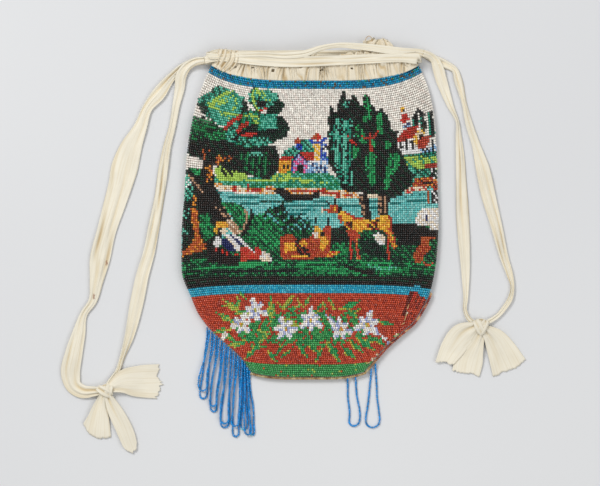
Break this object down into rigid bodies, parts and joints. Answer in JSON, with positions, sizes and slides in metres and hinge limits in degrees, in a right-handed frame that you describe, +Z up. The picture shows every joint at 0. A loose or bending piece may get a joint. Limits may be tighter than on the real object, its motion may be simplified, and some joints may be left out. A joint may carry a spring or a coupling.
{
  "type": "beaded drawstring pouch",
  "caption": "Beadwork drawstring pouch with a gathered silk header, silk lining, knotted ribbon drawstrings and loops of bead fringe, lying flat.",
  "frame": {"origin": "on the flat underside, in the middle of the back panel", "axes": "+Z up from the back panel to the front, +Y towards the mouth, +X to the right of someone looking down on the front"},
  "size_m": [0.3237, 0.292, 0.0119],
  "materials": {
    "beadwork": "small opaque glass beads in many colours, knitted into a fabric",
    "fringe_beads": "glossy bright blue glass beads on thread",
    "header_silk": "cream silk, gathered in fine pleats",
    "lining_silk": "cream silk, plain woven",
    "ribbon_silk": "cream silk ribbon with a soft sheen, creased, with a few small rust stains",
    "seam_thread": "cream and tan thread, overcast along the edge"
  },
  "bodies": {
    "root": {"beadwork_bag": "beadwork", "silk_lining": "lining_silk", "gathered_header": "header_silk", "bottom_seam": "seam_thread", "drawstring_left": "ribbon_silk", "drawstring_right": "ribbon_silk", "fringe_loop_01": "fringe_beads", "fringe_loop_02": "fringe_beads", "fringe_loop_03": "fringe_beads", "fringe_loop_04": "fringe_beads", "fringe_loop_05": "fringe_beads", "fringe_loop_06": "fringe_beads", "fringe_loop_07": "fringe_beads", "fringe_loop_08": "fringe_beads", "fringe_loop_09": "fringe_beads", "fringe_loop_10": "fringe_beads", "fringe_loop_11": "fringe_beads", "fringe_loop_12": "fringe_beads", "fringe_loop_13": "fringe_beads"}
  },
  "joints": []
}
